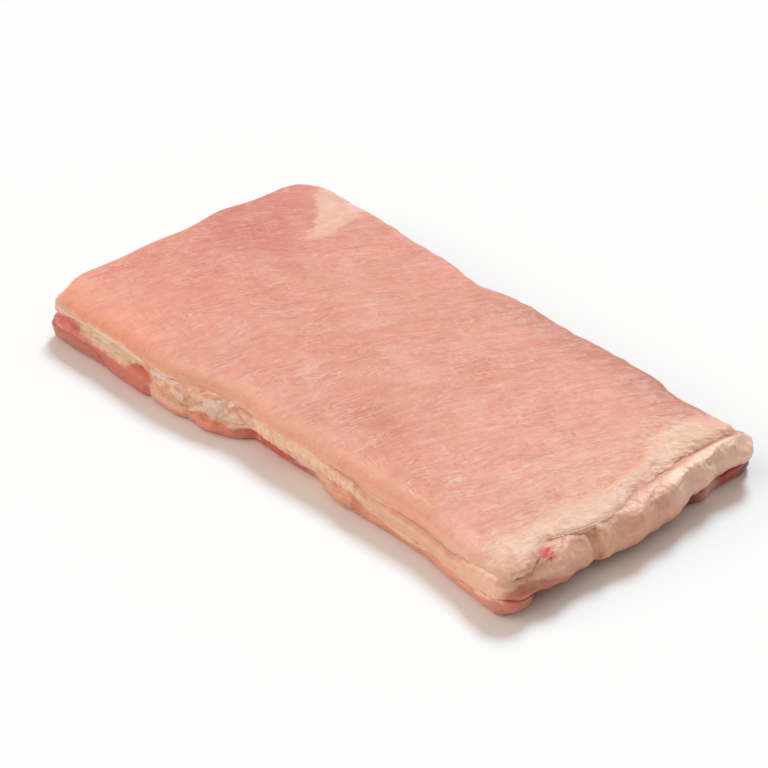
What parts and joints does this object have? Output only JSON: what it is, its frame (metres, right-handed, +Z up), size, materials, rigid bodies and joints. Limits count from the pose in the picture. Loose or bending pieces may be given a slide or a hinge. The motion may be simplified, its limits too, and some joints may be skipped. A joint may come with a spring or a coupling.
{
  "type": "pork belly slab",
  "caption": "Raw boneless pork belly lying flat: a pale lean sheet over a fat layer and a darker lean base, with soft fat rolls at one end.",
  "frame": {"origin": "centre of the footprint, on the surface the slab rests on", "axes": "+X along the length towards the fat end, +Y across the width, +Z up through the thickness"},
  "size_m": [0.5234, 0.2768, 0.0364],
  "materials": {
    "upper_lean": "moist salmon-pink lean under a thin glossy membrane, fine wrinkles across the width, fading to cream fat at one end",
    "fat": "soft cream fat with a satin moist sheen, crimped along the cut side",
    "lower_lean": "moist mauve to red lean with a smooth wet sheen"
  },
  "bodies": {
    "root": {"lean_top": "upper_lean", "fat_layer": "fat", "lean_base": "lower_lean"}
  },
  "joints": []
}
